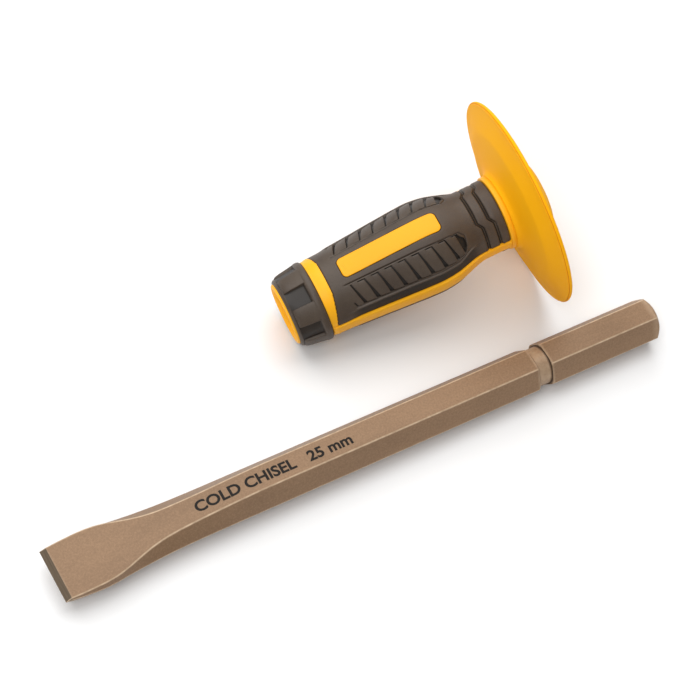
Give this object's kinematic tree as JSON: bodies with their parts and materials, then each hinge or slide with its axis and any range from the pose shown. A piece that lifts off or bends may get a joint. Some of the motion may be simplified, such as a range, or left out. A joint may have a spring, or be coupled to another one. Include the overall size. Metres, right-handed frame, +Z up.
{
  "type": "cold chisel",
  "caption": "Hexagonal cold chisel with a flared cutting edge and a turned neck, and its pull-off soft grip with a round hand guard lying beside it.",
  "frame": {"origin": "Middle of the flat the chisel bar lies on, halfway along the bar, on the supporting surface.", "axes": "+X runs along the bar from the cutting edge to the struck face, +Y points across the bar to the side where the grip lies, +Z is up."},
  "size_m": [0.3, 0.1236, 0.0948],
  "materials": {
    "bar_steel": "satin bronze lacquer over forged steel",
    "core_yellow": "satin moulded yellow",
    "soft_dark": "matt dark soft-touch rubber",
    "label_yellow": "smooth satin yellow, blank",
    "guard_yellow": "satin moulded orange-yellow",
    "ring_black": "black elastic ring"
  },
  "bodies": {
    "chisel": {"chisel_bar": "bar_steel"},
    "grip": {"grip_core": "core_yellow", "front_panel": "soft_dark", "rear_panel": "soft_dark", "front_label_pad": "label_yellow", "rear_label_pad": "label_yellow", "butt_collar": "soft_dark", "guard": "guard_yellow", "retaining_ring": "ring_black"}
  },
  "joints": [
    {"name": "grip_slide", "type": "slide", "parent": "chisel", "child": "grip", "axis": [1, 0, 0], "range_m": [-0.014, 0.16]}
  ]
}
